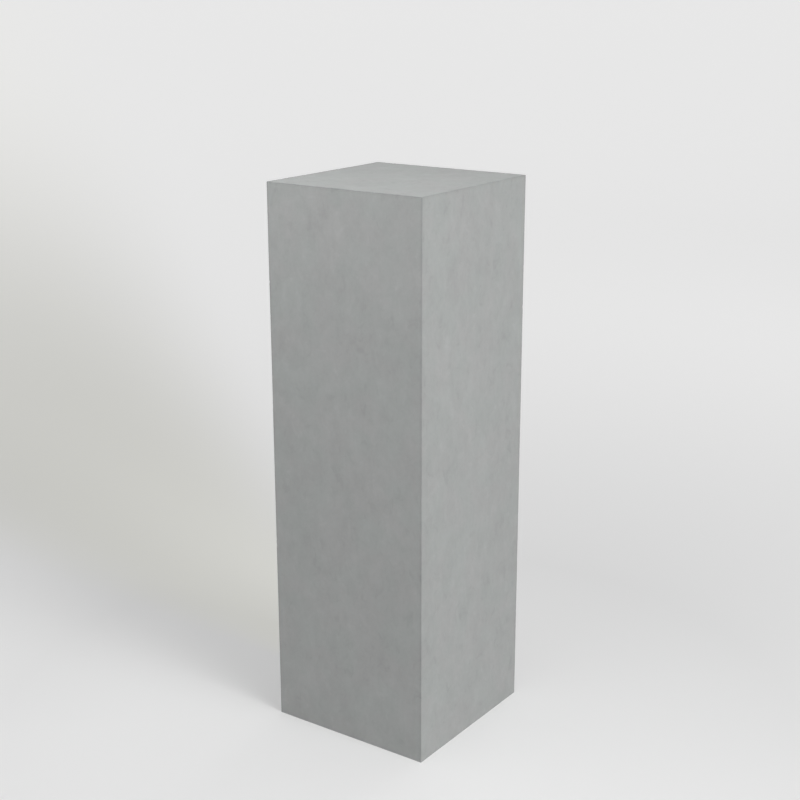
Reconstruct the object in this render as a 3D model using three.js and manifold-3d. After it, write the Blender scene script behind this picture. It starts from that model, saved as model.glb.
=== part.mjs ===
// A square pedestal column: fibreboard walls and top, mitred together over softwood battens and cleats,
// faced outside with thin trowelled cement sheets. A base panel is let in above the floor, and four
// levelling feet hide in the recess under it. Millimetres, Z up, origin at the middle of the footprint.
import * as THREE from "three";
import { RoundedBoxGeometry } from "three/addons/geometries/RoundedBoxGeometry.js";
import { mergeVertices } from "three/addons/utils/BufferGeometryUtils.js";
import Module from "manifold-3d";

// Column
const columnSide = 320;
const columnHeight = 1000;
const facingThickness = 3;
const boardThickness = 15;
const arrisRadius = 1.2;
const glueLine = 0.3;

// Inner framing
const battenSize = 25;
const cleatSize = 25;
const baseThickness = 18;
const braceThickness = 12;
const braceHeight = 500;
const handHoleDiameter = 90;
const fitGap = 0.5;

// Wood screws, driven square to the face that they enter
const screwHeadDiameter = 8;
const screwShankDiameter = 4;
const screwHeadDepth = 2.4;
const screwTipLength = 5;
const woodPastScrewTip = 5;
const screwFromCleatEnd = 50;
const screwClearance = 0.3;

// Levelling feet, wound right up
const threadDiameter = 8;
const threadChamfer = 1;
const footTravel = 10;
const threadSpare = 4;
const insertFlangeDiameter = 22;
const insertFlangeThickness = 1.6;
const insertBarrelDiameter = 11;
const insertBarrelLength = 14;
const collarAcrossFlats = 13;
const collarThickness = 5;
const neckDiameter = 5.6;
const neckHeight = 1.3;
const ballDiameter = 8;
const ballBelowPadTop = 2.2;
const padDiameter = 32;
const padTopDiameter = 18;
const padRimHeight = 3;
const padHeight = 9;
const soleDiameter = 28;
const soleThickness = 2;
const soleEdge = 0.5;
const soleAboveFloor = 1;
const padToWall = 20;
const runningGap = 0.3;

// How finely curves are cut
const roundSides = 24;
const handHoleSides = 72;
const screwSides = 12;
const ballSteps = 6;
const arrisSegments = 4;
const weldDistance = 1e-4;

// Worked out from the sizes above
const mitreSetback = glueLine / Math.SQRT2;
const wallThickness = facingThickness + boardThickness;
const insideSide = columnSide - 2 * wallThickness;
const topUnderside = columnHeight - wallThickness;
const cleatLength = insideSide - 2 * (battenSize + fitGap);
const cleatMiddle = insideSide / 2 - cleatSize / 2;
const screwFromMiddle = cleatLength / 2 - screwFromCleatEnd;
const padBottom = soleAboveFloor + soleThickness;
const padTop = padBottom + padHeight;
const ballMiddle = padTop - ballBelowPadTop;
const collarBottom = padTop + neckHeight;
const collarTop = collarBottom + collarThickness;
const insertBottom = collarTop + runningGap;
const baseUnderside = insertBottom + insertFlangeThickness;
const baseTop = baseUnderside + baseThickness;
const studTop = baseUnderside + insertBarrelLength + footTravel + threadSpare;
const footFromMiddle = insideSide / 2 - padToWall - padDiameter / 2;

const sideNames = ["front", "right", "back", "left"];
const sidesWithBraceCleat = ["right", "left"];
const quarterTurns = [0, 1, 2, 3].map((quarter) => (quarter * Math.PI) / 2);

const materials = {
  facing: material("#a3a5a4", 0.8, 0),
  board: material("#a98861", 0.85, 0),
  softwood: material("#d2b184", 0.7, 0),
  plywood: material("#c39a68", 0.7, 0),
  zinc: material("#b9bcc0", 0.35, 0.9),
  nylon: material("#24262a", 0.5, 0),
  rubber: material("#3a3b3c", 0.9, 0),
};

const wasm = await Module();
wasm.setup();

function material(color, roughness, metalness) {
  return new THREE.MeshStandardMaterial({ color, roughness, metalness });
}

function piece(name, geometry, finish) {
  const mesh = new THREE.Mesh(geometry, finish);
  mesh.name = name;
  return mesh;
}

// A closed geometry as a solid that can be joined and cut
function toSolid(geometry) {
  const triangles = geometry.index ? geometry.toNonIndexed() : geometry;
  const bare = new THREE.BufferGeometry();
  bare.setAttribute("position", triangles.getAttribute("position"));
  const welded = mergeVertices(bare, weldDistance);
  const vertProperties = welded.getAttribute("position").array;
  const triVerts = new Uint32Array(welded.index.array);
  return new wasm.Manifold(new wasm.Mesh({ numProp: 3, vertProperties, triVerts }));
}

function toGeometry(solid) {
  const { vertProperties, triVerts } = solid.getMesh();
  const geometry = new THREE.BufferGeometry();
  geometry.setAttribute("position", new THREE.BufferAttribute(vertProperties, 3));
  geometry.setIndex(new THREE.BufferAttribute(triVerts, 1));
  geometry.computeVertexNormals();
  return geometry;
}

function cut(geometry, cutters) {
  const start = toSolid(geometry);
  return toGeometry(cutters.reduce((solid, cutter) => solid.subtract(toSolid(cutter)), start));
}

// A block between two heights, centred on the vertical line through x, y
function block(width, depth, bottom, top, x = 0, y = 0) {
  return new THREE.BoxGeometry(width, depth, top - bottom).translate(x, y, (bottom + top) / 2);
}

// A solid of revolution about a vertical line, from [radius, height] pairs
function turned(profile, sides = roundSides) {
  const points = profile.map(([radius, height]) => new THREE.Vector2(radius, height));
  return new THREE.LatheGeometry(points, sides).rotateX(Math.PI / 2);
}

// An upright round cutter, whose flats lie at the radius that it has to clear
function roundCutter(radius, bottom, top, x = 0, y = 0, sides = roundSides) {
  const cornerRadius = radius / Math.cos(Math.PI / sides);
  return new THREE.CylinderGeometry(cornerRadius, cornerRadius, top - bottom, sides)
    .rotateX(Math.PI / 2)
    .translate(x, y, (bottom + top) / 2);
}

// A box whose eight corners go where place puts the corner with those signs
function boxWithCorners(place) {
  const geometry = new THREE.BoxGeometry(2, 2, 2);
  const corners = geometry.getAttribute("position");
  for (let i = 0; i < corners.count; i += 1) {
    const corner = place(corners.getX(i), corners.getY(i), corners.getZ(i));
    corners.setXYZ(i, ...corner);
  }
  return geometry;
}

// The front wall's layer between two depths under the outer face, mitred at its sides and top
function wallLayer(outerDepth, innerDepth) {
  return boxWithCorners((x, y, z) => {
    const depth = y < 0 ? outerDepth : innerDepth;
    const halfWidth = columnSide / 2 - depth - mitreSetback;
    const top = columnHeight - depth - mitreSetback;
    return [x * halfWidth, depth - columnSide / 2, z < 0 ? 0 : top];
  });
}

// The top's layer between two depths under the display surface, mitred all round
function topLayer(outerDepth, innerDepth) {
  return boxWithCorners((x, y, z) => {
    const depth = z > 0 ? outerDepth : innerDepth;
    const half = columnSide / 2 - depth - mitreSetback;
    return [x * half, y * half, columnHeight - depth];
  });
}

// The outer form of the whole column, with eased arrises, running on below the floor
function easedColumn() {
  const buried = columnSide;
  const length = columnHeight + buried;
  const form = new RoundedBoxGeometry(columnSide, columnSide, length, arrisSegments, arrisRadius);
  return form.translate(0, 0, columnHeight - length / 2);
}

function eased(facing) {
  return toGeometry(toSolid(facing).intersect(toSolid(easedColumn())));
}

// A countersunk screw that points up, with its head's face at zero. A margin makes it the cutter of its hole.
function screwForm(length, margin = 0) {
  const head = screwHeadDiameter / 2 + margin;
  const shank = screwShankDiameter / 2 + margin;
  const profile = [
    [0, -margin],
    [head, -margin],
    [head, 0],
    [shank, screwHeadDepth],
    [shank, length - screwTipLength + margin],
    [0, length + margin],
  ];
  return turned(margin ? profile : profile.slice(0, 1).concat(profile.slice(2)), screwSides);
}

const screws = {
  base: { head: baseUnderside, length: baseThickness + cleatSize - woodPastScrewTip },
  top: { head: topUnderside - cleatSize, length: cleatSize + boardThickness - woodPastScrewTip },
  brace: {
    head: braceHeight + braceThickness,
    length: braceThickness + cleatSize - woodPastScrewTip,
    pointsDown: true,
  },
};

// A screw, or the cutter of its hole, in place on the front wall's cleat at x along it
function placedScrew({ head, length, pointsDown }, x, margin = 0) {
  const form = screwForm(length, margin);
  if (pointsDown) form.rotateX(Math.PI);
  return form.translate(x, -cleatMiddle, head);
}

function cleat(bottom, holes) {
  const bar = block(cleatLength, cleatSize, bottom, bottom + cleatSize, 0, -cleatMiddle);
  return cut(bar, holes);
}

// One screw at x along the cleat of every side named, as cutters in the column's frame
function screwHolesAround(screw, alongCleat, names) {
  return names.flatMap((name) =>
    alongCleat.map((x) =>
      placedScrew(screw, x, screwClearance).rotateZ(quarterTurns[sideNames.indexOf(name)]),
    ),
  );
}

const endPlaces = [-screwFromMiddle, screwFromMiddle];
const middlePlace = [0];

// A cleat with its screws, named after the side that it is glued to
function screwedCleat(kind, name, bottom, places, firstNumber) {
  const holes = places.map((x) => placedScrew(screws[kind], x, screwClearance));
  const parts = places.map((x, i) =>
    piece(`${kind}_screw_${firstNumber + i}`, placedScrew(screws[kind], x), materials.zinc),
  );
  return [piece(`${kind}_cleat_${name}`, cleat(bottom, holes), materials.softwood), ...parts];
}

function wall(name, index) {
  const group = new THREE.Group();
  group.rotation.z = quarterTurns[index];
  const facing = eased(wallLayer(0, facingThickness));
  group.add(piece(`facing_${name}`, facing, materials.facing));
  group.add(piece(`board_${name}`, wallLayer(facingThickness, wallThickness), materials.board));
  group.add(...screwedCleat("base", name, baseTop, endPlaces, 2 * index + 1));
  group.add(...screwedCleat("top", name, topUnderside - cleatSize, middlePlace, index + 1));
  const bracePlace = sidesWithBraceCleat.indexOf(name);
  if (bracePlace >= 0) {
    const bottom = braceHeight - cleatSize;
    group.add(...screwedCleat("brace", name, bottom, endPlaces, 2 * bracePlace + 1));
  }
  return group;
}

function top() {
  const holes = screwHolesAround(screws.top, middlePlace, sideNames);
  const group = new THREE.Group();
  group.add(piece("facing_top", eased(topLayer(0, facingThickness)), materials.facing));
  const board = cut(topLayer(facingThickness, wallThickness), holes);
  group.add(piece("board_top", board, materials.board));
  return group;
}

function cornerBattens() {
  const group = new THREE.Group();
  const middle = (insideSide - battenSize) / 2;
  quarterTurns.forEach((turn, i) => {
    const batten = block(battenSize, battenSize, baseTop, topUnderside, -middle, -middle);
    batten.rotateZ(turn);
    group.add(piece(`corner_batten_${i + 1}`, batten, materials.softwood));
  });
  return group;
}

// The hole that a hand or a bag of ballast passes through, the same in the base and the brace
function handHole(bottom, top) {
  return roundCutter(handHoleDiameter / 2, bottom - fitGap, top + fitGap, 0, 0, handHoleSides);
}

function basePanel() {
  const side = insideSide - 2 * fitGap;
  const insertRadius = insertBarrelDiameter / 2 + runningGap;
  const insertHoles = quarterTurns.map((turn) =>
    roundCutter(insertRadius, insertBottom, baseTop + fitGap, -footFromMiddle, -footFromMiddle)
      .rotateZ(turn),
  );
  const screwHoles = screwHolesAround(screws.base, endPlaces, sideNames);
  const panel = block(side, side, baseUnderside, baseTop);
  const holes = [handHole(baseUnderside, baseTop), ...insertHoles, ...screwHoles];
  return piece("base_panel", cut(panel, holes), materials.plywood);
}

// A board across the column that holds the walls apart, notched round the corner battens
function bracePanel() {
  const side = insideSide - 2 * fitGap;
  const braceTop = braceHeight + braceThickness;
  const notchSide = 2 * (battenSize + fitGap);
  const notches = quarterTurns.map((turn) =>
    block(notchSide, notchSide, braceHeight - fitGap, braceTop + fitGap, insideSide / 2, insideSide / 2)
      .rotateZ(turn),
  );
  const screwHoles = screwHolesAround(screws.brace, endPlaces, sidesWithBraceCleat);
  const panel = block(side, side, braceHeight, braceTop);
  const holes = [handHole(braceHeight, braceTop), ...notches, ...screwHoles];
  return piece("brace_panel", cut(panel, holes), materials.board);
}

// A thread insert pressed into the base from below: its flange takes the foot's thrust
function insertNut() {
  const bore = (threadDiameter / 2 + runningGap) / Math.cos(Math.PI / roundSides);
  const flange = insertFlangeDiameter / 2;
  const barrel = insertBarrelDiameter / 2;
  const barrelTop = baseUnderside + insertBarrelLength;
  return turned([
    [bore, insertBottom],
    [flange, insertBottom],
    [flange, baseUnderside],
    [barrel, baseUnderside],
    [barrel, barrelTop],
    [bore, barrelTop],
    [bore, insertBottom],
  ]);
}

// Points of a ball's outline, from its lowest point up to where it is `endRadius` across from the axis
function ballArc(radius, endRadius) {
  const endAngle = Math.PI - Math.asin(endRadius / radius);
  return Array.from({ length: ballSteps + 1 }, (_, step) => {
    const angle = (endAngle * step) / ballSteps;
    return [radius * Math.sin(angle), ballMiddle - radius * Math.cos(angle)];
  });
}

// The stud's ball sits in the pad, its collar takes a spanner and its thread runs in the insert
function footStud() {
  const thread = threadDiameter / 2;
  const neck = neckDiameter / 2;
  const collarMiddle = (collarBottom + collarTop) / 2;
  const shaft = turned([
    ...ballArc(ballDiameter / 2, neck),
    [neck, collarMiddle],
    [thread, collarMiddle],
    [thread, studTop - threadChamfer],
    [thread - threadChamfer, studTop],
    [0, studTop],
  ]);
  const collarRadius = collarAcrossFlats / Math.sqrt(3);
  const collar = new THREE.CylinderGeometry(collarRadius, collarRadius, collarThickness, 6)
    .rotateX(Math.PI / 2)
    .translate(0, 0, collarMiddle);
  return toGeometry(toSolid(shaft).add(toSolid(collar)));
}

// The pad's socket closes in above the ball, so that the pad hangs on the stud
function footPad() {
  const socket = (ballDiameter / 2 + runningGap) / Math.cos(Math.PI / roundSides);
  const mouth = Math.sqrt(socket ** 2 - ballBelowPadTop ** 2);
  return turned([
    [0, padBottom],
    [padDiameter / 2, padBottom],
    [padDiameter / 2, padBottom + padRimHeight],
    [padTopDiameter / 2, padTop],
    ...ballArc(socket, mouth).reverse(),
  ]);
}

function footSole() {
  return turned([
    [0, soleAboveFloor],
    [soleDiameter / 2 - soleEdge, soleAboveFloor],
    [soleDiameter / 2, soleAboveFloor + soleEdge],
    [soleDiameter / 2, padBottom],
    [0, padBottom],
  ]);
}

function foot(number, turn) {
  const place = new THREE.Vector3(-footFromMiddle, -footFromMiddle, 0);
  const group = new THREE.Group();
  group.position.copy(place.applyAxisAngle(new THREE.Vector3(0, 0, 1), turn));
  group.add(piece(`insert_nut_${number}`, insertNut(), materials.zinc));
  group.add(piece(`foot_stud_${number}`, footStud(), materials.zinc));
  group.add(piece(`foot_pad_${number}`, footPad(), materials.nylon));
  group.add(piece(`foot_sole_${number}`, footSole(), materials.rubber));
  return group;
}

const pedestal = new THREE.Group();
sideNames.forEach((name, index) => pedestal.add(wall(name, index)));
pedestal.add(top(), cornerBattens(), basePanel(), bracePanel());
quarterTurns.forEach((turn, index) => pedestal.add(foot(index + 1, turn)));

export default pedestal;
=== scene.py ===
"""A square pedestal column as it looks: trowelled cement sheets over a board carcass, with four
levelling feet tucked up under a base that is let in above the floor.

Metres, +Z up the column, -Y out of the front face, +X out of the right face. Every new piece is
a grid of points worked out from a formula, and lies where the solid that it stands for lies."""

import math

import bpy
import numpy as np
from mathutils import Euler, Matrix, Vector


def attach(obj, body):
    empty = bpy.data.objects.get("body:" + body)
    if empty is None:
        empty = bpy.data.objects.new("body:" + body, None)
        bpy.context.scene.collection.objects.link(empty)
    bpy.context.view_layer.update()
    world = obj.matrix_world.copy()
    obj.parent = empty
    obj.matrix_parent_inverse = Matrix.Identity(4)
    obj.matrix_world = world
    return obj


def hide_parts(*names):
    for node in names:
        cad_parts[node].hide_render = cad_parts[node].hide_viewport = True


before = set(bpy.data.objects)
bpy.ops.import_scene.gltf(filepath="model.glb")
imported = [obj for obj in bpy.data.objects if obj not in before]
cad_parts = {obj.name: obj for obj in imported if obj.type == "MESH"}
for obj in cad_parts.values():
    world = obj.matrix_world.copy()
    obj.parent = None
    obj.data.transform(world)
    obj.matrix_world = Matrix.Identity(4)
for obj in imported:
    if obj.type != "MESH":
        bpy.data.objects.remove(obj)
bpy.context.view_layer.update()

MM = 0.001

# The column
HALF_SIDE = 160 * MM
HEIGHT = 1000 * MM
SHEET = 3 * MM
ARRIS_RADIUS = 0.8 * MM
HALF_JOINT = 0.06 * MM
SIDE_NAMES = ("front", "right", "back", "left")
CREASE_ANGLE = math.radians(35)

# How the trowelled faces depart from dead flat
SHEET_STEP = 3 * MM
ARRIS_STEPS = np.array([0, 0.2, 0.45, 0.75, 1.1, 1.6, 2.4]) * MM
MEAN_HOLLOW = 0.13 * MM
SWELL_DEPTH = 0.06 * MM
SWELL_LENGTHS = (90 * MM, 320 * MM)
SWELL_SEED = 7
TROWEL_DEPTH = 0.016 * MM
TROWEL_LENGTHS = (20 * MM, 60 * MM)
TROWEL_SEED = 19
WAVES = 28
DEEPEST_HOLLOW = 0.35 * MM
NICKS_ON_UPRIGHT = 9
NICKS_ON_TOP_EDGE = 4
NICK_DEPTHS = (0.12 * MM, 0.42 * MM)
NICK_RADII = (0.9 * MM, 2.4 * MM)
NICK_INSET = 0.3 * ARRIS_RADIUS
NICK_SEED = 41
# Width of the band along the arrises in which the cement is a little darker
ARRIS_DARKENING_WIDTH = 2.2 * MM

# The feet, as they stand wound right up
FOOT_FROM_MIDDLE = 106 * MM
SOLE_HEIGHTS = (1 * MM, 3 * MM)
SOLE_RADIUS = 14 * MM
SOLE_HOLE_RADIUS = 1.2 * MM
SOLE_EASING = 0.5 * MM
GRIP_RING_STEP = 2.3 * MM
GRIP_RING_DEPTH = 0.4 * MM
GRIP_RING_ROWS = 10
SOLE_COLUMNS = 72
PAD_RADIUS = 16 * MM
PAD_BOTTOM = 3 * MM
PAD_BOTTOM_HOLE_RADIUS = 2 * MM
PAD_RIM_TOP = 6 * MM
PAD_TOP = 12 * MM
PAD_TOP_RADIUS = 9 * MM
PAD_RIBS = 8
PAD_POCKET_DEPTH = 0.9 * MM
PAD_SCALLOPS = 32
PAD_SCALLOP_DEPTH = 0.25 * MM
BALL_HEIGHT = 9.8 * MM
BALL_RADIUS = 4 * MM
BALL_ROWS = 14
SOCKET_RADIUS = 4.3 * MM
SOCKET_MOUTH_RADIUS = 3.7 * MM
NECK_RADIUS = 2.8 * MM
COLLAR_HEIGHTS = (13.3 * MM, 18.3 * MM)
COLLAR_ACROSS_FLATS = 13 * MM
COLLAR_TURNED_SHARE = 0.965
COLLAR_TURNED_SLOPE = math.tan(math.radians(30))
THREAD_RADIUS = 4 * MM
THREAD_PITCH = 1.25 * MM
THREAD_DEPTH = 0.66 * MM
THREAD_UNDERSIZE = 0.04 * MM
THREAD_ROWS_PER_TURN = 8
STUD_TOP = 48.2 * MM
STUD_CHAMFER = 1 * MM
STUD_COLUMNS = 48
FLANGE_HEIGHTS = (18.6 * MM, 20.2 * MM)
FLANGE_RADIUS = 11 * MM
FLANGE_TEETH = 36
FLANGE_TOOTH_DEPTH = 0.16 * MM
FLANGE_GROOVE_RADII = (7.2 * MM, 8.8 * MM)
FLANGE_GROOVE_DEPTH = 0.12 * MM
BARREL_RADIUS = 5.5 * MM
BARREL_TOP = 34.2 * MM
BORE_RADIUS = 4.3 * MM

# The wood screws
SCREW_HEAD_RADIUS = 4 * MM
SCREW_SHANK_RADIUS = 2 * MM
SCREW_HEAD_DEPTH = 2.4 * MM
SCREW_HEAD_ROWS = 20
SCREW_TIP = 5 * MM
SCREW_TIP_RADIUS = 0.15 * MM
SCREW_TIP_ROWS = 16
SCREW_PITCH = 1.9 * MM
SCREW_THREAD_DEPTH = 0.55 * MM
SCREW_THREAD_ROWS_PER_TURN = 6
SCREW_COLUMNS = 40
RECESS_REACH = 2.35 * MM
RECESS_RUN_OUT = 0.9 * MM
RECESS_HALF_WIDTH = 0.62 * MM
RECESS_WALL = 0.1 * MM
RECESS_DEPTH = 1.5 * MM
BASE_UNDERSIDE = 20.2 * MM
TOP_CLEAT_UNDERSIDE = 957 * MM
BRACE_TOP = 512 * MM
CLEAT_MIDDLE = 129.5 * MM
SCREW_FROM_MIDDLE = 66.5 * MM
SCREW_LENGTHS = {"base": 38 * MM, "top": 35 * MM, "brace": 32 * MM}

# The grain of the boards. A wave node of scale s makes a ring each 2 pi / 20 s metres, which
# here is each 3.3 mm.
PLY = 2 * MM
TURNED_ALONG = {"X": (0, math.pi / 2, 0), "Y": (math.pi / 2, 0, 0), "Z": (0, 0, 0)}
PITH_OF_TIMBER = {"X": (0, 0.052, 0.31), "Y": (0.047, 0, 0.29), "Z": (0.03, -0.02, 0)}
RING_SCALE = 96.0

# Colours, as linear red, green and blue
PINK_CEMENT = (0.3730, 0.3780, 0.3745)
GREEN_CEMENT = (0.3670, 0.3812, 0.3745)
DARK_FIBRE = (0.385, 0.238, 0.118)
PALE_FIBRE = (0.415, 0.262, 0.133)
EARLY_WOOD = (0.70, 0.50, 0.275)
LATE_WOOD = (0.50, 0.305, 0.135)
PALE_VENEER = (0.60, 0.375, 0.175)
DARK_VENEER = (0.49, 0.285, 0.118)
LONG_GRAIN_EDGE = (0.56, 0.35, 0.165)
END_GRAIN_EDGE = (0.30, 0.165, 0.07)
BRIGHT_ZINC = (0.50, 0.51, 0.53)
DULL_ZINC = (0.40, 0.41, 0.43)
BRIGHT_YELLOW_ZINC = (0.64, 0.54, 0.31)
DULL_YELLOW_ZINC = (0.52, 0.43, 0.24)
CLEAN_NYLON = (0.016, 0.017, 0.020)
DUSTY_NYLON = (0.060, 0.058, 0.054)
CLEAN_RUBBER = (0.037, 0.038, 0.039)
SCUFFED_RUBBER = (0.085, 0.083, 0.080)

# The studio
FLOOR_COLOUR = (0.825, 0.825, 0.825)
# Lighter and warmer than the floor: painted light and a painted warm cast along the column's
# shadow
FLOOR_COLOUR_WITH_PAINTED_LIGHT_IN_SHADOW = (0.85, 0.848, 0.805)
FLOOR_REACH = 120.0
OPENING_UNDER_COLUMN = 159.7 * MM
BACKDROP_COLOUR = (0.785, 0.785, 0.785)
# Painted light on the floor near the column's foot, against the shade it has there
NEAR_PAINTED_LIGHT = 0.05
NEAR_PAINTED_LIGHT_REACH = 0.45
FAR_LIFT = 0.345
LIFT_START = 0.75
LIFT_LENGTH = 1.76
# The fan along the column's shadow: the floor's paint is lifted and warmed there near by, and far
# off its glow is held back, a painted shadow tail
SHADOW_BEARING = (-0.927, 0.375, 0.0)
SHADOW_COSINES = (0.929, 1.0)
PAINTED_SHADOW_LENGTH = 5.0
SENSOR_MILLIMETRES = 36.0
LENS_MILLIMETRES = 65.282
CAMERA_PLACE = (1.4475, -2.0379, 1.3387)
CAMERA_TURN_IN_DEGREES = (73.582, 0.123, 35.292)


# ---------------------------------------------------------------- nodes


class Nodes:
    """A node tree, and short ways to build it."""

    def __init__(self, tree):
        self.tree = tree

    def feed(self, socket, value):
        """Links a socket's value, or sets a number or a colour on the socket itself."""
        if isinstance(value, bpy.types.NodeSocket):
            self.tree.links.new(value, socket)
        elif hasattr(socket.default_value, "__len__"):
            socket.default_value = (*value, 1.0)[: len(socket.default_value)]
        else:
            socket.default_value = value

    def node(self, kind, feeds, **settings):
        """A node with its settings, and its inputs fed by name or number."""
        made = self.tree.nodes.new(kind)
        for name, value in settings.items():
            setattr(made, name, value)
        for name, value in feeds.items():
            self.feed(made.inputs[name], value)
        return made

    def math(self, operation, first, second=0.0, third=0.0):
        """What an operation makes of one, two or three numbers."""
        feeds = {0: first, 1: second, 2: third}
        return self.node("ShaderNodeMath", feeds, operation=operation).outputs[0]

    def decay(self, value, length):
        """e^(-value / length)."""
        return self.math("EXPONENT", self.math("MULTIPLY", value, -1 / length))

    def seen(self):
        """1 for what the camera sees, itself or in a mirror or through glass, and 0 for light."""
        path = self.node("ShaderNodeLightPath", {}).outputs
        seen = self.math("MAXIMUM", path["Is Camera Ray"], path["Is Glossy Ray"])
        return self.math("MAXIMUM", seen, path["Is Transmission Ray"])

    def either(self, share, first, second):
        """The first shader at share 0, and the second at 1."""
        return self.node("ShaderNodeMixShader", {0: share, 1: first, 2: second}).outputs[0]

    def shows(self, output, shader):
        """Leads a shader to the tree's output node."""
        self.tree.links.new(shader, self.tree.nodes[output].inputs["Surface"])


class Finish(Nodes):
    """One material: a surface shader, and patterns over Object coordinates in metres."""

    def __init__(self, name, roughness, metallic=0.0, shine=0.5):
        self.material = bpy.data.materials.new(name)
        self.material.use_nodes = True
        super().__init__(self.material.node_tree)
        self.roughness = roughness
        self.surface = self.tree.nodes["Principled BSDF"]
        self.surface.inputs["Roughness"].default_value = roughness
        self.surface.inputs["Metallic"].default_value = metallic
        self.surface.inputs["Specular IOR Level"].default_value = shine
        self.here = self.tree.nodes.new("ShaderNodeTexCoord").outputs["Object"]

    def laid(self, long=(1, 1, 1), turn=(0, 0, 0), start=(0, 0, 0)):
        """Coordinates in which a pattern comes out longer by `long` along its own turned axes."""
        feeds = {"Vector": self.here, "Scale": long, "Rotation": turn, "Location": start}
        return self.node("ShaderNodeMapping", feeds, vector_type="TEXTURE").outputs["Vector"]

    def noise(self, size, detail=3.0, gain=0.5, where=None, warp=0.0):
        """Soft noise from 0 to 1 whose coarsest patches are about `size` across."""
        feeds = {
            "Vector": where or self.here,
            "Scale": 1 / size,
            "Detail": detail,
            "Roughness": gain,
            "Distortion": warp,
        }
        return self.node("ShaderNodeTexNoise", feeds).outputs[0]

    def pits(self, spacing, radius):
        """1 inside round pits of about `radius`, one to each cell of `spacing`, and 0 outside."""
        feeds = {"Vector": self.here, "Scale": 1 / spacing}
        near = self.node("ShaderNodeTexVoronoi", feeds).outputs["Distance"]
        return self.ramp(near, radius / spacing, 0.5 * radius / spacing, 0, 1)

    def ramp(self, value, low, high, to_low, to_high):
        """`value` carried smoothly from low..high to to_low..to_high, and held beyond."""
        feeds = {0: value, 1: low, 2: high, 3: to_low, 4: to_high}
        return self.node("ShaderNodeMapRange", feeds, interpolation_type="SMOOTHSTEP").outputs[0]

    def added(self, start, *terms):
        """`start`, plus pattern x weight for each of the terms."""
        for pattern, weight in terms:
            start = self.math("MULTIPLY_ADD", pattern, weight, start)
        return start

    def total(self, *terms):
        """The sum of (pattern - 0.5) x weight over the terms."""
        centred = [(self.math("SUBTRACT", pattern, 0.5), weight) for pattern, weight in terms]
        return self.added(0.0, *centred)

    def roughened(self, *terms):
        """The finish's own roughness, varied by patterns."""
        return self.math("ADD", self.total(*terms), self.roughness)

    def vector(self, operation, *inputs, output="Vector"):
        """What a vector operation makes of its inputs."""
        feeds = dict(enumerate(inputs))
        return self.node("ShaderNodeVectorMath", feeds, operation=operation).outputs[output]

    def blend(self, share, first, second):
        """The first colour at share 0, and the second at 1."""
        feeds = {0: share, 6: first, 7: second}
        return self.node("ShaderNodeMix", feeds, data_type="RGBA").outputs[2]

    def shaded(self, colour, change):
        """A colour made lighter or darker by a share of itself."""
        feeds = {0: colour, "Scale": self.math("ADD", change, 1.0)}
        return self.node("ShaderNodeVectorMath", feeds, operation="SCALE").outputs[0]

    def paint(self, colour, roughness=None, relief=None):
        """Sets the colour, the roughness where it varies, and the relief in metres of height."""
        self.feed(self.surface.inputs["Base Color"], colour)
        if roughness is not None:
            self.feed(self.surface.inputs["Roughness"], roughness)
        if relief is not None:
            feeds = {"Height": relief, "Strength": 1.0, "Distance": 1.0}
            bump = self.node("ShaderNodeBump", feeds)
            self.feed(self.surface.inputs["Normal"], bump.outputs[0])
        return self.material


# ---------------------------------------------------------------- finishes


def cement():
    """Trowelled cement: cloudy mid grey, mottled in soft spots, with dark flecks, pale blooms,
    faint trowel strokes, fine sand and pinholes painted dark as painted shade in the pits, and a
    little darker close to its arrises."""
    made = Finish("trowelled cement", roughness=0.8, shine=0.3)
    spotted = made.laid(long=(1, 1, 1.3), start=(0.2, 0.7, 0.1))
    upright = made.laid(long=(1, 1, 6), turn=(0.12, -0.08, 0.3))
    slanting = made.laid(long=(1, 1, 5), turn=(0.75, 0.6, 0.2), start=(0.3, 0.1, 0.2))
    clouds = made.noise(120 * MM, detail=2, gain=0.6)
    mottle = made.noise(30 * MM, detail=4, gain=0.8, where=made.laid(long=(1, 1, 1.25)))
    spots = made.noise(23 * MM, detail=3, gain=0.55, where=spotted, warp=0.7)
    flecks = made.ramp(spots, 0.44, 0.27, 0, 1)
    blooms = made.ramp(spots, 0.57, 0.74, 0, 1)
    strokes = made.noise(14 * MM, detail=3, gain=0.6, where=upright, warp=0.6)
    sweeps = made.noise(22 * MM, detail=2, gain=0.6, where=slanting, warp=0.8)
    sand = made.noise(1.3 * MM, detail=2, gain=0.7)
    pinholes = made.pits(17 * MM, 0.45 * MM)
    # How much darker the cement is close to its arrises, read from the sheets' point attribute
    wear = made.node("ShaderNodeAttribute", {}, attribute_name="wear").outputs["Fac"]
    tint = made.noise(70 * MM, detail=3, gain=0.6, where=made.laid(start=(0.5, 0.2, 0.7)))
    grey = made.blend(made.ramp(tint, 0.35, 0.65, 0, 1), PINK_CEMENT, GREEN_CEMENT)
    change = made.total(
        (clouds, 0.10), (mottle, 0.29), (strokes, 0.10), (sweeps, 0.06), (sand, 0.045)
    )
    # The pinholes are painted darker: painted shade in the pits
    change = made.added(
        change, (flecks, -0.065), (blooms, 0.05), (pinholes, -0.3), (wear, -0.13)
    )
    relief = made.total(
        (mottle, 0.06 * MM), (strokes, 0.10 * MM), (sweeps, 0.08 * MM), (sand, 0.035 * MM)
    )
    relief = made.added(relief, (pinholes, -0.15 * MM))
    roughness = made.roughened((mottle, 0.25), (strokes, 0.3))
    return made.paint(made.shaded(grey, change), roughness, relief)


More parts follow.
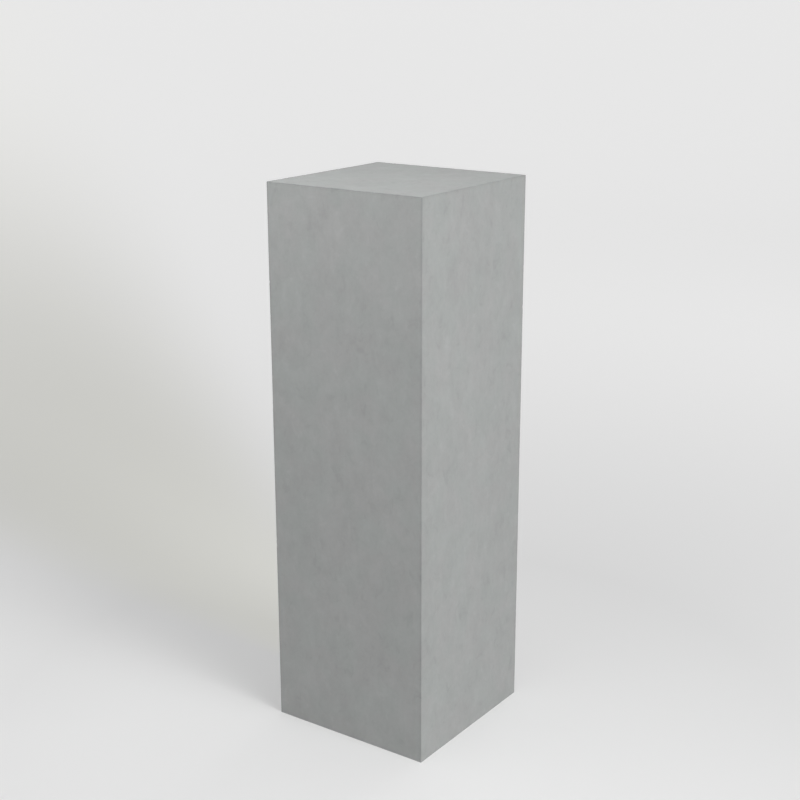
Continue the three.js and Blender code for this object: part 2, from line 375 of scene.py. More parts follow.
def fibreboard():
    """Pressed wood fibre: warm brown with short pale and dark fibres and a dull, slightly furry
    face."""
    made = Finish("fibreboard", roughness=0.86, shine=0.25)
    fibres = made.noise(1.6 * MM, detail=4, gain=0.75, where=made.laid(long=(1.8, 1.8, 1)))
    clouds = made.noise(45 * MM, detail=3, gain=0.6)
    flecks = made.pits(5 * MM, 0.5 * MM)
    change = made.added(made.total((fibres, 0.35), (clouds, 0.16)), (flecks, -0.18))
    tone = made.blend(clouds, DARK_FIBRE, PALE_FIBRE)
    return made.paint(made.shaded(tone, change), relief=made.total((fibres, 0.09 * MM)))


def timber(name, along):
    """Planed softwood whose rings turn about a pith line along the named axis, with fine long
    fibres."""
    made = Finish(name, roughness=0.62, shine=0.35)
    turn = TURNED_ALONG[along]
    feeds = {
        "Vector": made.laid(long=(1, 1, 14), turn=turn, start=PITH_OF_TIMBER[along]),
        "Scale": RING_SCALE,
        "Distortion": 2.4,
        "Detail": 2.0,
        "Detail Scale": 0.4,
    }
    settings = {"wave_type": "RINGS", "rings_direction": "Z", "wave_profile": "SAW"}
    rings = made.node("ShaderNodeTexWave", feeds, **settings).outputs["Fac"]
    late = made.ramp(rings, 0.55, 0.98, 0, 1)
    fibres = made.noise(
        1.1 * MM, detail=3, gain=0.6, where=made.laid(long=(1, 1, 30), turn=turn)
    )
    clouds = made.noise(60 * MM, detail=2)
    tone = made.blend(late, EARLY_WOOD, LATE_WOOD)
    change = made.total((fibres, 0.22), (clouds, 0.14))
    relief = made.added(made.total((fibres, 0.05 * MM)), (late, 0.05 * MM))
    return made.paint(made.shaded(tone, change), made.roughened((fibres, 0.25)), relief)


def plywood():
    """Plywood: a peeled face veneer with broad flame figure, and stripes of end and long grain
    on its edges, one to each ply."""
    made = Finish("plywood", roughness=0.6, shine=0.35)
    flame = made.noise(13 * MM, detail=3, gain=0.55, where=made.laid(long=(9, 1, 1)), warp=0.7)
    bands = made.math("PINGPONG", made.math("MULTIPLY", flame, 7.0), 0.5)
    fibres = made.noise(0.9 * MM, detail=3, gain=0.6, where=made.laid(long=(28, 1, 1)))
    pores = made.noise(0.7 * MM, detail=2, gain=0.6)
    height = made.node("ShaderNodeSeparateXYZ", {0: made.here}).outputs["Z"]
    pair_of_plies = made.math("MULTIPLY", made.math("SUBTRACT", height, BASE_UNDERSIDE), 0.5 / PLY)
    crossed = made.ramp(made.math("FRACT", pair_of_plies), 0.47, 0.53, 0, 1)
    normal = made.node("ShaderNodeNewGeometry", {}).outputs["True Normal"]
    upward = made.math("ABSOLUTE", made.node("ShaderNodeSeparateXYZ", {0: normal}).outputs["Z"])
    on_edge = made.ramp(upward, 0.8, 0.4, 0, 1)
    face = made.blend(bands, PALE_VENEER, DARK_VENEER)
    stripes = made.blend(crossed, LONG_GRAIN_EDGE, END_GRAIN_EDGE)
    tone = made.blend(on_edge, face, stripes)
    change = made.total((fibres, 0.2), (pores, 0.12))
    relief = made.total((fibres, 0.04 * MM), (pores, 0.03 * MM))
    return made.paint(made.shaded(tone, change), relief=relief)


def plated_steel(name, bright, dull, roughness):
    """Plated steel: a thin crystalline bloom over fine machining, a little duller in patches."""
    made = Finish(name, roughness=roughness, metallic=0.92)
    bloom = made.noise(5 * MM, detail=4, gain=0.65)
    turning = made.noise(0.5 * MM, detail=2, where=made.laid(long=(8, 8, 1)))
    tone = made.blend(made.ramp(bloom, 0.35, 0.68, 0, 1), bright, dull)
    rough = made.roughened((bloom, 0.35), (turning, 0.12))
    relief = made.total((turning, 0.012 * MM), (bloom, 0.01 * MM))
    return made.paint(made.shaded(tone, made.total((turning, 0.12))), rough, relief)


def nylon():
    """Black moulded nylon: a fine spark-eroded grain, with pale workshop dust in patches."""
    made = Finish("black nylon", roughness=0.56, shine=0.45)
    grain = made.noise(0.5 * MM, detail=2, gain=0.6)
    dust = made.ramp(made.noise(7 * MM, detail=4, gain=0.65), 0.45, 0.75, 0, 0.5)
    tone = made.shaded(made.blend(dust, CLEAN_NYLON, DUSTY_NYLON), made.total((grain, 0.3)))
    rough = made.roughened((grain, 0.15), (dust, 0.25))
    return made.paint(tone, rough, made.total((grain, 0.04 * MM)))


def rubber():
    """Dark rubber: dead matt, with a coarse pressed grain and grey scuffing."""
    made = Finish("rubber", roughness=0.88, shine=0.3)
    grain = made.noise(0.8 * MM, detail=3, gain=0.6)
    scuffs = made.ramp(made.noise(4 * MM, detail=4, gain=0.7), 0.5, 0.75, 0, 0.6)
    tone = made.shaded(made.blend(scuffs, CLEAN_RUBBER, SCUFFED_RUBBER), made.total((grain, 0.35)))
    return made.paint(tone, relief=made.total((grain, 0.07 * MM)))


def studio_floor():
    """A pale matt floor with the faintest unevenness, which shows from above only.

    Its paint is brighter near the column, by NEAR_PAINTED_LIGHT x e^(-d /
    NEAR_PAINTED_LIGHT_REACH) at a distance d from the column's sides: painted light against the
    shade at its foot. Along the column's shadow it is painted a little lighter and warmer: painted
    light and a painted warm cast in that shadow. Far off, where the lamps give out, what is seen
    of it is lifted to the same pale tone, by FAR_LIFT x (1 - e^(-(r - LIFT_START) / LIFT_LENGTH))
    at a distance r from the column's middle.
    That lift is held back along the shadow, by a share e^(-(r - LIFT_START) /
    PAINTED_SHADOW_LENGTH):
    a painted shadow tail."""
    made = Finish("studio floor", roughness=0.9, shine=0.15)
    bearing = made.vector("NORMALIZE", made.here)
    along = made.vector("DOT_PRODUCT", bearing, SHADOW_BEARING, output="Value")
    # The fan along the column's shadow, where painted light and a painted shadow tail go
    shadow = made.ramp(along, *SHADOW_COSINES, 0, 1)

    out = made.node("ShaderNodeSeparateXYZ", {0: made.vector("ABSOLUTE", made.here)}).outputs
    from_sides = made.math("SUBTRACT", made.math("MAXIMUM", out["X"], out["Y"]), HALF_SIDE)
    # Painted light: the floor's paint is lifted near the column's sides, where its foot shades it
    near = made.decay(made.math("MAXIMUM", from_sides, 0.0), NEAR_PAINTED_LIGHT_REACH)
    clouds = made.total((made.noise(0.9, detail=3), 0.006))
    # Along the shadow fan the floor is painted lighter and warmer: painted light and a painted
    # warm cast
    tone = made.blend(shadow, FLOOR_COLOUR, FLOOR_COLOUR_WITH_PAINTED_LIGHT_IN_SHADOW)
    made.paint(made.shaded(tone, made.added(clouds, (near, NEAR_PAINTED_LIGHT))))

    away = made.vector("LENGTH", made.here, output="Value")
    beyond = made.math("MAXIMUM", made.math("SUBTRACT", away, LIFT_START), 0.0)
    # Held back along the shadow fan: a painted shadow tail in the far glow
    painted_shadow_tail = made.math("MULTIPLY", shadow, made.decay(beyond, PAINTED_SHADOW_LENGTH))
    lift = made.math("SUBTRACT", 1.0, made.decay(beyond, LIFT_LENGTH))
    lift = made.math("MULTIPLY", lift, made.math("SUBTRACT", 1.0, painted_shadow_tail))
    strength = made.math("MULTIPLY", made.math("MULTIPLY", lift, FAR_LIFT), made.seen())
    glow = made.node("ShaderNodeEmission", {"Strength": strength}).outputs[0]
    lit = made.node("ShaderNodeAddShader", {0: made.surface.outputs[0], 1: glow}).outputs[0]

    below = made.node("ShaderNodeNewGeometry", {}).outputs["Backfacing"]
    clear = made.node("ShaderNodeBsdfTransparent", {}).outputs[0]
    made.shows("Material Output", made.either(below, lit, clear))
    return made.material


# ---------------------------------------------------------------- shapes


def grid_quads(rows, columns, closed=False):
    """Point numbers of the quads of a grid stored row after row; a closed one joins its last
    column to its first."""
    number = np.arange(rows * columns).reshape(rows, columns)
    if closed:
        number = np.column_stack([number, number[:, 0]])
    corners = [number[:-1, :-1], number[:-1, 1:], number[1:, 1:], number[1:, :-1]]
    return np.stack(corners, -1).reshape(-1, 4)


def piece(name, points, faces, finish, body, node):
    """A finished piece: smooth up to the crease angle, riding on its body in its node's place."""
    mesh = bpy.data.meshes.new(name)
    mesh.from_pydata(points.reshape(-1, 3).tolist(), [], faces)
    mesh.shade_smooth()
    mesh.set_sharp_from_angle(angle=CREASE_ANGLE)
    mesh.materials.append(finish)
    made = bpy.data.objects.new(name, mesh)
    bpy.context.scene.collection.objects.link(made)
    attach(made, body)
    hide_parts(node)
    return made


def smoothstep(low, high, value):
    """0 below low and 1 above high, with an easy S between them."""
    share = np.clip((value - low) / (high - low), 0, 1)
    return share * share * (3 - 2 * share)


def swept(profile, columns, bend=None, ring=False):
    """A profile of (radius, height) pairs carried round the Z axis, as (points, faces).

    Point(row, column) = (r cos a, r sin a, h), with a going evenly round, r and h from the
    profile's row, and bend(r, h, a) giving new radii and heights where the form isn't round. A
    ring joins its last row to its first, as a tube does; any other form is closed by a flat face
    at each end."""
    radius, height = (np.repeat(part[:, None], columns, axis=1) for part in np.array(profile).T)
    angle = np.broadcast_to(np.arange(columns) * 2 * np.pi / columns, radius.shape)
    if bend:
        radius, height = bend(radius, height, angle)
    points = np.stack([radius * np.cos(angle), radius * np.sin(angle), height], -1)
    rows = len(points)
    if ring:
        quads = grid_quads(rows + 1, columns, closed=True) % (rows * columns)
        return points, quads.tolist()
    ends = [list(range(columns))[::-1], list(range((rows - 1) * columns, rows * columns))]
    return points, grid_quads(rows, columns, closed=True).tolist() + ends


def arc(middle_height, radius, from_degrees, to_degrees, count):
    """Profile pairs on a ball about the axis; 0 degrees is its lowest point, and 90 its widest."""
    turn = np.radians(np.linspace(from_degrees, to_degrees, count))
    return np.stack([radius * np.sin(turn), middle_height - radius * np.cos(turn)], -1)


def line(start, end, count):
    """Profile pairs evenly along a straight line, both ends included."""
    return np.linspace(start, end, count)


def random_waves(points, lengths, seed):
    """A smooth random field of unit spread: a sum of plane waves with random directions and
    phases, whose wavelengths lie between the two lengths."""
    chance = np.random.default_rng(seed)
    direction = chance.normal(size=(WAVES, 3))
    direction /= np.linalg.norm(direction, axis=1)[:, None]
    length = np.exp(chance.uniform(*np.log(lengths), WAVES))
    phase = chance.uniform(0, 2 * np.pi, WAVES)
    waves = np.cos(2 * np.pi * points @ (direction / length[:, None]).T + phase)
    return waves.sum(-1) * math.sqrt(2 / WAVES)


def turned_quarter(points, turns):
    """Points turned about Z by quarter turns."""
    cos, sin = ((1, 0), (0, 1), (-1, 0), (0, -1))[turns % 4]
    x, y = points[..., 0], points[..., 1]
    turned = np.stack([cos * x - sin * y, sin * x + cos * y], -1)
    return np.concatenate([turned, points[..., 2:]], -1)


def nick_places():
    """Middles, depths and radii of the small nicks along the uprights and the top edges."""
    chance = np.random.default_rng(NICK_SEED)
    out = HALF_SIDE - NICK_INSET
    middles = []
    for across, along in ((-1, -1), (1, -1), (1, 1), (-1, 1)):
        heights = chance.uniform(0, HEIGHT, NICKS_ON_UPRIGHT)
        middles += [(across * out, along * out, height) for height in heights]
    for turn in range(4):
        for place in chance.uniform(-HALF_SIDE, HALF_SIDE, NICKS_ON_TOP_EDGE):
            x, y = turned_quarter(np.array([place, -out]), turn)
            middles.append((x, y, HEIGHT - NICK_INSET))
    count = len(middles)
    depths = chance.uniform(*NICK_DEPTHS, count)
    return np.array(middles), depths, chance.uniform(*NICK_RADII, count)


def hollow(points):
    """How far each point of the flat form is sunk: a mean depth, broad swells, trowel ripple, and
    nicks of depth x e^(-d^2 / 2 radius^2) at a distance d from their middles."""
    sunk = MEAN_HOLLOW + SWELL_DEPTH * random_waves(points, SWELL_LENGTHS, SWELL_SEED)
    sunk = sunk + TROWEL_DEPTH * random_waves(points, TROWEL_LENGTHS, TROWEL_SEED)
    sunk = np.clip(sunk, 0, DEEPEST_HOLLOW)
    for middle, depth, radius in zip(*nick_places()):
        away = ((points - middle) ** 2).sum(-1)
        sunk = sunk + depth * np.exp(-away / (2 * radius**2))
    return sunk


def eased_steps(length, ease_start):
    """Places along a sheet, about SHEET_STEP apart and closer where it eases into an arris."""
    edge = length - HALF_JOINT
    inner = edge - ARRIS_STEPS[-1]
    low = -inner if ease_start else 0.0
    count = int(round((inner - low) / SHEET_STEP)) + 1
    middle = np.linspace(low, inner, count)
    high = edge - ARRIS_STEPS[:-1][::-1]
    if ease_start:
        return np.concatenate([-high[::-1], middle, high])
    return np.concatenate([middle, high])


def cement_sheet(name, place, across, along, wear):
    """A mitred sheet of cement.

    The outer face is a grid over the flat face's two directions. Each point q of it goes to
    c + r (q - c) / |q - c|, where c is q held inside a box smaller by the arris radius r: flat in
    the middle, and round where the sheet eases into the arris. It is then sunk along the same
    direction. The mitres run straight in from the rim to a smaller ring, which closes the back.
    place(across, along, depth) puts a flat point into the column's frame, and the last argument,
    given across and along, says how much darker the face is there near its arrises."""
    s, t = np.meshgrid(across, along)
    flat = place(s, t, 0.0)
    limit = np.array([HALF_SIDE, HALF_SIDE, HEIGHT]) - ARRIS_RADIUS
    core = np.clip(flat, [-limit[0], -limit[1], -HEIGHT], limit)
    out = flat - core
    out /= np.linalg.norm(out, axis=-1, keepdims=True)
    eased = core + ARRIS_RADIUS * out
    points = eased - out * hollow(eased)[..., None]
    rows, columns = s.shape
    number = np.arange(rows * columns).reshape(rows, columns)
    rim = np.concatenate([number[0, :-1], number[:-1, -1], number[-1, :0:-1], number[:0:-1, 0]])
    shrink_s = (across[-1] - SHEET) / across[-1]
    shrink_t = (along[-1] - SHEET) / along[-1]
    back = place(s.ravel()[rim] * shrink_s, t.ravel()[rim] * shrink_t, SHEET)
    ring = np.arange(len(rim)) + rows * columns
    sides = np.stack([rim, ring, np.roll(ring, -1), np.roll(rim, -1)], -1)
    faces = grid_quads(rows, columns).tolist() + sides.tolist() + [ring[::-1].tolist()]
    points = np.concatenate([points.reshape(-1, 3), back])
    made = piece(
        f"cement_sheet_{name}", points, faces, cement_finish,
        "root", f"facing_{name}",
    )
    nearness = np.concatenate([wear(s, t).ravel(), np.zeros(len(rim))]).astype(np.float32)
    made.data.attributes.new("wear", "FLOAT", "POINT").data.foreach_set("value", nearness)


def darkness_by_arris(distance):
    """How much darker the face is at a distance from an arris: e^(-(distance / w)^2), w being the
    darkening width.
    """
    return np.exp(-((distance / ARRIS_DARKENING_WIDTH) ** 2))


def cement_sheets():
    """The four sides, each the front one turned round by quarter turns, and the top."""
    across = eased_steps(HALF_SIDE, ease_start=True)
    upward = eased_steps(HEIGHT, ease_start=False)

    def side_arris_darkening(s, t):
        return darkness_by_arris(np.minimum(HALF_SIDE - abs(s), HEIGHT - t))

    def top_arris_darkening(s, t):
        return darkness_by_arris(HALF_SIDE - np.maximum(abs(s), abs(t)))

    for turns, name in enumerate(SIDE_NAMES):

        def on_side(s, t, depth, turns=turns):
            front = np.stack([s, np.full_like(s, depth - HALF_SIDE), t], -1)
            return turned_quarter(front, turns)

        cement_sheet(name, on_side, across, upward, side_arris_darkening)

    def on_top(s, t, depth):
        return np.stack([s, t, np.full_like(s, HEIGHT - depth)], -1)

    cement_sheet("top", on_top, across, across, top_arris_darkening)


def thread_cut(height, angle, pitch, depth):
    """How deep a right-hand thread is cut at a height and an angle: a V with a flat crest and a
    flat root that climbs one pitch for each turn."""
    phase = height / pitch - angle / (2 * np.pi)
    from_crest = 1 - abs(2 * (phase % 1) - 1)
    return depth * np.clip(from_crest * 1.35 - 0.14, 0, 1)


def stud_form(radius, height, angle):
    """The stud's radii: a hexagon with turned-off corners in the collar, and a thread above it,
    which starts shallow and ends in a chamfer."""
    low, high = COLLAR_HEIGHTS
    flat = COLLAR_ACROSS_FLATS / 2
    from_flat = (angle + np.pi / 6) % (np.pi / 3) - np.pi / 6
    hexagon = flat / np.cos(from_flat)
    from_face = np.minimum(height - low, high - height)
    turned_off = COLLAR_TURNED_SHARE * flat + from_face / COLLAR_TURNED_SLOPE
    hexagon = np.minimum(hexagon, turned_off)
    on_collar = radius > THREAD_RADIUS + 0.5 * MM
    shaped = np.where(on_collar, np.minimum(radius, hexagon), radius)
    cut = thread_cut(height, angle, THREAD_PITCH, THREAD_DEPTH)
    begun = smoothstep(high + 0.2 * MM, high + THREAD_PITCH, height)
    chamfer = STUD_TOP - height + THREAD_RADIUS - STUD_CHAMFER
    threaded = np.minimum(THREAD_RADIUS - THREAD_UNDERSIZE - cut * begun, chamfer)
    return np.where(height > high + 0.01 * MM, threaded, shaped), height


def threaded_stud():
    """Ball, neck, spanner collar and thread in one turned and threaded bar."""
    low, high = COLLAR_HEIGHTS
    corner = COLLAR_ACROSS_FLATS / math.sqrt(3)
    ball_end = 180 - math.degrees(math.asin(NECK_RADIUS / BALL_RADIUS))
    collar_rows = np.concatenate([
        np.linspace(low, low + 1 * MM, 9),
        [(low + high) / 2],
        np.linspace(high - 1 * MM, high, 9),
    ])
    thread_rows = int((STUD_TOP - high) / THREAD_PITCH * THREAD_ROWS_PER_TURN)
    profile = np.concatenate([
        arc(BALL_HEIGHT, BALL_RADIUS, 5, ball_end, BALL_ROWS),
        [(NECK_RADIUS, low - 0.25 * MM), (NECK_RADIUS + 0.3 * MM, low)],
        np.stack([np.full_like(collar_rows, corner), collar_rows], -1),
        line((THREAD_RADIUS, high + 0.02 * MM), (THREAD_RADIUS, STUD_TOP), thread_rows),
    ])
    return swept(profile, STUD_COLUMNS, stud_form)


def flanged_insert():
    """A steel insert: a knurled flange under the base panel, with a groove turned in its face,
    and a plain bored barrel that goes up into the panel."""
    low, high = FLANGE_HEIGHTS
    groove_start, groove_end = FLANGE_GROOVE_RADII
    groove_top = low + FLANGE_GROOVE_DEPTH
    profile = np.array([
        (BORE_RADIUS, low + 0.5 * MM),
        (BORE_RADIUS + 0.5 * MM, low),
        (groove_start, low),
        (groove_start + 0.2 * MM, groove_top),
        (groove_end - 0.2 * MM, groove_top),
        (groove_end, low),
        (FLANGE_RADIUS - 0.35 * MM, low),
        (FLANGE_RADIUS - 0.1 * MM, low + 0.1 * MM),
        (FLANGE_RADIUS, low + 0.35 * MM),
        (FLANGE_RADIUS, high - 0.2 * MM),
        (FLANGE_RADIUS - 0.2 * MM, high),
        (BARREL_RADIUS, high),
        (BARREL_RADIUS, BARREL_TOP - 0.5 * MM),
        (BARREL_RADIUS - 0.4 * MM, BARREL_TOP),
        (BORE_RADIUS + 0.2 * MM, BARREL_TOP),
        (BORE_RADIUS, BARREL_TOP - 0.3 * MM),
    ])

    def knurled(radius, height, angle):
        rim = smoothstep(FLANGE_RADIUS - 0.25 * MM, FLANGE_RADIUS, radius)
        tooth = 0.5 - 0.5 * np.cos(FLANGE_TEETH * angle)
        return radius - FLANGE_TOOTH_DEPTH * rim * tooth, height

    return swept(profile, 4 * FLANGE_TEETH, knurled, ring=True)


def foot_pad():
    """A moulded pad: a scalloped rim, a cone with shallow pockets between ribs, and a ball socket
    in its top."""
    mouth = 180 - math.degrees(math.asin(SOCKET_MOUTH_RADIUS / SOCKET_RADIUS))
    profile = np.concatenate([
        [(PAD_BOTTOM_HOLE_RADIUS, PAD_BOTTOM)],
        line((PAD_RADIUS - 0.4 * MM, PAD_BOTTOM), (PAD_RADIUS, PAD_BOTTOM + 0.4 * MM), 4),
        line((PAD_RADIUS, PAD_BOTTOM + 0.8 * MM), (PAD_RADIUS, PAD_RIM_TOP - 0.5 * MM), 4),
        line(
            (PAD_RADIUS - 0.1 * MM, PAD_RIM_TOP - 0.15 * MM),
            (PAD_RADIUS - 0.6 * MM, PAD_RIM_TOP + 0.1 * MM), 3,
        ),
        line(
            (PAD_RADIUS - 1.2 * MM, PAD_RIM_TOP + 0.7 * MM),
            (PAD_TOP_RADIUS + 0.5 * MM, PAD_TOP - 0.6 * MM), 16,
        ),
        line((PAD_TOP_RADIUS, PAD_TOP - 0.15 * MM), (PAD_TOP_RADIUS - 0.5 * MM, PAD_TOP), 3),
        [(SOCKET_RADIUS, PAD_TOP)],
        arc(BALL_HEIGHT, SOCKET_RADIUS, mouth, 12, BALL_ROWS),
    ])

    def moulded(radius, height, angle):
        on_rim = (radius > PAD_RADIUS - 0.3 * MM) * smoothstep(0, 0.4 * MM, PAD_RIM_TOP - height)
        scallop = PAD_SCALLOP_DEPTH * on_rim * (0.5 - 0.5 * np.cos(PAD_SCALLOPS * angle))
        up_cone = smoothstep(PAD_RIM_TOP + 0.7 * MM, PAD_RIM_TOP + 1.6 * MM, height)
        down_cone = smoothstep(PAD_TOP - 0.7 * MM, PAD_TOP - 1.6 * MM, height)
        on_cone = up_cone * down_cone * (radius > PAD_TOP_RADIUS)
        between_ribs = smoothstep(-0.45, 0.1, np.cos(PAD_RIBS * angle))
        return radius - scallop - PAD_POCKET_DEPTH * on_cone * between_ribs, height

    return swept(profile, 4 * PAD_SCALLOPS, moulded)


def rubber_sole():
    """A round sole with rings moulded into the face that meets the floor."""
    low, high = SOLE_HEIGHTS
    inner = SOLE_HOLE_RADIUS
    radii = np.arange(inner, SOLE_RADIUS - SOLE_EASING, GRIP_RING_STEP / GRIP_RING_ROWS)
    wave = 0.5 + 0.5 * np.cos(2 * np.pi * radii / GRIP_RING_STEP)
    underside = np.stack([radii, low + GRIP_RING_DEPTH * smoothstep(0.35, 0.85, wave)], -1)
    edge = [
        (SOLE_RADIUS - 0.45 * MM, low),
        (SOLE_RADIUS - 0.15 * MM, low + 0.15 * MM),
        (SOLE_RADIUS, low + SOLE_EASING),
        (SOLE_RADIUS, high),
        (inner, high),
    ]
    return swept(np.concatenate([underside, edge]), SOLE_COLUMNS)


def wood_screw(length):
    """A countersunk screw that points up from its head's face at height zero: a cross recess, a
    cone, a thread and a tip."""
    thread_length = length - SCREW_TIP - SCREW_HEAD_DEPTH
    thread_rows = int(thread_length / SCREW_PITCH * SCREW_THREAD_ROWS_PER_TURN)
    shank_end = (SCREW_SHANK_RADIUS, length - SCREW_TIP)
    profile = np.concatenate([
        line((0.12 * MM, 0), (SCREW_HEAD_RADIUS - 0.1 * MM, 0), SCREW_HEAD_ROWS),
        [
            (SCREW_HEAD_RADIUS, 0.08 * MM),
            (SCREW_SHANK_RADIUS + 0.35 * MM, SCREW_HEAD_DEPTH - 0.45 * MM),
            (SCREW_SHANK_RADIUS, SCREW_HEAD_DEPTH),
        ],
        line((SCREW_SHANK_RADIUS, SCREW_HEAD_DEPTH + 0.4 * MM), shank_end, thread_rows),
        line(shank_end, (SCREW_TIP_RADIUS, length), SCREW_TIP_ROWS)[1:],
    ])

    def formed(radius, height, angle):
        x, y = abs(radius * np.cos(angle)), abs(radius * np.sin(angle))
        half = RECESS_HALF_WIDTH
        arm = smoothstep(half + RECESS_WALL, half - RECESS_WALL, np.minimum(x, y))
        reach = smoothstep(RECESS_REACH, RECESS_REACH - RECESS_RUN_OUT, np.maximum(x, y))
        recess = RECESS_DEPTH * arm * reach * (height <= 0)
        started = smoothstep(SCREW_HEAD_DEPTH + 1 * MM, SCREW_HEAD_DEPTH + 4 * MM, height)
        cut = thread_cut(height, angle, SCREW_PITCH, SCREW_THREAD_DEPTH) * started
        return np.maximum(radius - cut, np.minimum(radius, 0.1 * MM)), height + recess

    return swept(profile, SCREW_COLUMNS, formed)


def placed(points, x, y, z=0.0, upside_down=False):
    """Points of a form made on the axis, set down at x, y, z; upside down, they are first turned
    over about X."""
    if upside_down:
        points = points * [1, -1, -1]
    return points + [x, y, z]


def feet():
    """Four feet, numbered round from the front left corner."""
    stud, insert, pad, sole = threaded_stud(), flanged_insert(), foot_pad(), rubber_sole()
    for number, (x, y) in enumerate(((-1, -1), (1, -1), (1, 1), (-1, 1)), start=1):
        x, y = x * FOOT_FROM_MIDDLE, y * FOOT_FROM_MIDDLE
        for name, (points, faces), finish, body, node, slot in (
            ("threaded_stud", stud, zinc_finish, "stud", "foot_stud", "zinc_plated_steel"),
            ("flanged_insert", insert, zinc_finish, None, "insert_nut", "zinc_plated_steel"),
            ("moulded_pad", pad, nylon_finish, "foot", "foot_pad", "black_nylon"),
            ("ringed_sole", sole, rubber_finish, "foot", "foot_sole", "rubber_sole"),
        ):
            rides_on = f"{body}_{number}" if body else "root"
            piece(
                f"{name}_{number}", placed(points, x, y), faces, finish, rides_on,
                f"{node}_{number}",
            )


def screws():
    """Two screws up through the base panel into each cleat, one up through each top cleat, and
    two down through the brace into each of its cleats."""

    def drive(kind, number, turns, along, head, upside_down=False):
        """A screw through a cleat on the side that lies `turns` quarter turns from the front."""
        points, faces = wood_screw(SCREW_LENGTHS[kind])
        x, y = turned_quarter(np.array([along, -CLEAT_MIDDLE]), turns)
        piece(
            f"wood_screw_{kind}_{number}", placed(points, x, y, head, upside_down), faces,
            brass_finish, "root", f"{kind}_screw_{number}",
        )

    ends = (-SCREW_FROM_MIDDLE, SCREW_FROM_MIDDLE)
    for turns in range(4):
        for step, along in enumerate(ends, start=1):
            drive("base", 2 * turns + step, turns, along, BASE_UNDERSIDE)
        drive("top", turns + 1, turns, 0.0, TOP_CLEAT_UNDERSIDE)
    for pair, turns in enumerate((1, 3)):
        for step, along in enumerate(ends, start=1):
            drive("brace", 2 * pair + step, turns, along, BRACE_TOP, upside_down=True)


def dress(finish, *names):
    """Gives solids that keep their own shape a finish."""
    for name in names:
        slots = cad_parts[name].data.materials
        slots.clear()
        slots.append(finish)


# ---------------------------------------------------------------- studio


def floor():
    """A flat square that runs out of sight on every side. It is open under the column, inside its
    rim, so that light reaches the recess when the column is looked at from below."""
    corners = np.array([(-1, -1, 0), (1, -1, 0), (1, 1, 0), (-1, 1, 0)])
    points = np.concatenate([corners * FLOOR_REACH, corners * OPENING_UNDER_COLUMN])
    mesh = bpy.data.meshes.new("floor")
    mesh.from_pydata(points.tolist(), [], grid_quads(2, 4, closed=True).tolist())
    mesh.materials.append(studio_floor())
    made = bpy.data.objects.new("floor", mesh)
    bpy.context.scene.collection.objects.link(made)


def hung(name, lamp, place, aim):
    """Hangs a lamp at a place and turns it towards a point."""
    made = bpy.data.objects.new(name, lamp)
    made.location = place
    made.rotation_mode = "QUATERNION"
    made.rotation_quaternion = (Vector(aim) - Vector(place)).to_track_quat("-Z", "Y")
    made.visible_camera = False
    bpy.context.scene.collection.objects.link(made)


def softbox(name, place, aim, side, watts, shadow=True):
    """A square lamp with an even soft face, which may fill without a shadow of its own."""
    lamp = bpy.data.lights.new(name, "AREA")
    lamp.shape = "SQUARE"
    lamp.size = side
    lamp.energy = watts
    lamp.use_shadow = shadow
    hung(name, lamp, place, aim)


def window(name, azimuth, elevation, strength, spread):
    """Even soft light from a wide patch far off. Azimuth 0 shines from the front, and 90 from
    the right."""
    lamp = bpy.data.lights.new(name, "SUN")
    lamp.energy = strength
    lamp.angle = math.radians(spread)
    a, e = math.radians(azimuth), math.radians(elevation)
    far = (math.sin(a) * math.cos(e), -math.cos(a) * math.cos(e), math.sin(e))
    hung(name, lamp, far, (0, 0, 0))


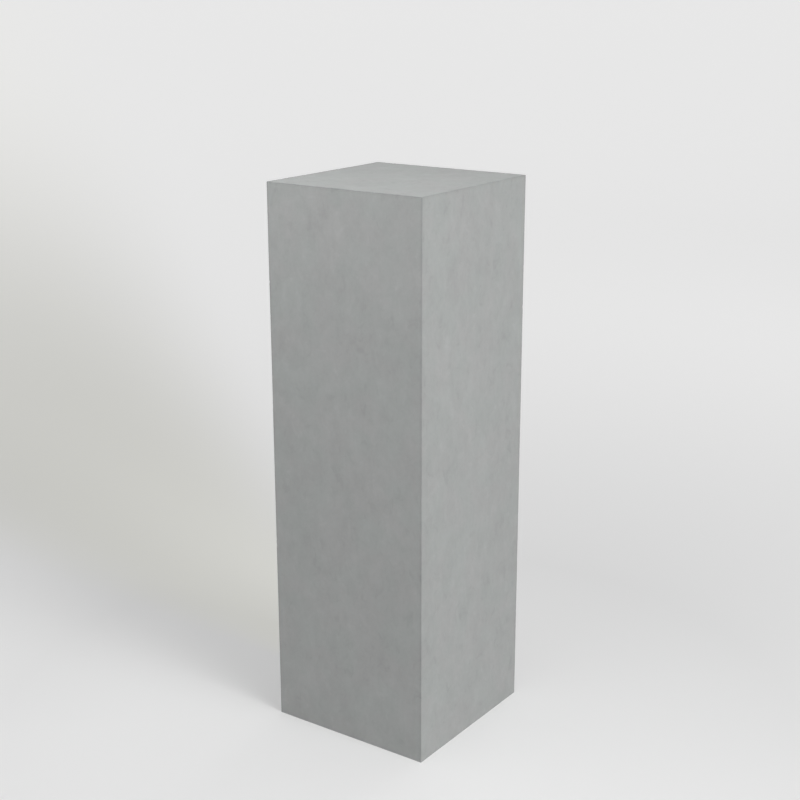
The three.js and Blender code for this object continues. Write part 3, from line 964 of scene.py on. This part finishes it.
def room_light(strength):
    """Even light from all round. What is seen or mirrored of the room is a plain backdrop of
    about the floor's tone."""
    world = bpy.data.worlds.new("studio")
    bpy.context.scene.world = world
    world.use_nodes = True
    made = Nodes(world.node_tree)
    lit = made.tree.nodes["Background"]
    made.feed(lit.inputs["Color"], (1, 1, 1))
    made.feed(lit.inputs["Strength"], strength)
    shown = made.node("ShaderNodeBackground", {"Color": BACKDROP_COLOUR})
    made.shows("World Output", made.either(made.seen(), lit.outputs[0], shown.outputs[0]))


def camera():
    """The photograph's view: from the right of the front, a little over the column's height."""
    lens = bpy.data.cameras.new("camera")
    lens.sensor_width = SENSOR_MILLIMETRES
    lens.lens = LENS_MILLIMETRES
    made = bpy.data.objects.new("camera", lens)
    made.location = CAMERA_PLACE
    made.rotation_euler = Euler([math.radians(turn) for turn in CAMERA_TURN_IN_DEGREES])
    bpy.context.scene.collection.objects.link(made)
    bpy.context.scene.camera = made


# ---------------------------------------------------------------- the column

cement_finish = cement()
zinc_finish = plated_steel("zinc-plated steel", BRIGHT_ZINC, DULL_ZINC, 0.36)
brass_finish = plated_steel("yellow-plated steel", BRIGHT_YELLOW_ZINC, DULL_YELLOW_ZINC, 0.34)
nylon_finish = nylon()
rubber_finish = rubber()

cement_sheets()
feet()
screws()

dress(fibreboard(), "board_top", "brace_panel", *[f"board_{name}" for name in SIDE_NAMES])
dress(plywood(), "base_panel")
dress(timber("softwood upright", "Z"), *[f"corner_batten_{number}" for number in range(1, 5)])
dress(
    timber("softwood across", "X"),
    *[f"{kind}_cleat_{name}" for kind in ("top", "base") for name in ("front", "back")],
)
dress(
    timber("softwood deep", "Y"),
    *[f"{kind}_cleat_{name}" for kind in ("top", "base", "brace") for name in ("right", "left")],
)

floor()
window("key", azimuth=85, elevation=20, strength=0.82, spread=24)
window("overhead", azimuth=0, elevation=89, strength=0.56, spread=70)
softbox("near key", place=(1.61, -0.46, 1.59), aim=(0, 0, 0.7), side=1.1, watts=12.0)
softbox(
    "front fill", place=(-0.3, -0.9, 1.8), aim=(0, 0, 0.6), side=1.2, watts=10.6, shadow=False
)
softbox("back fill", place=(0, 3.06, 3.07), aim=(0, 0, 0.5), side=2.2, watts=12.0)
softbox("from below", place=(0, 0, -1.5), aim=(0, 0, 0), side=1.2, watts=15.0)
room_light(0.26)
camera()
bpy.context.scene.view_settings.view_transform = "Standard"
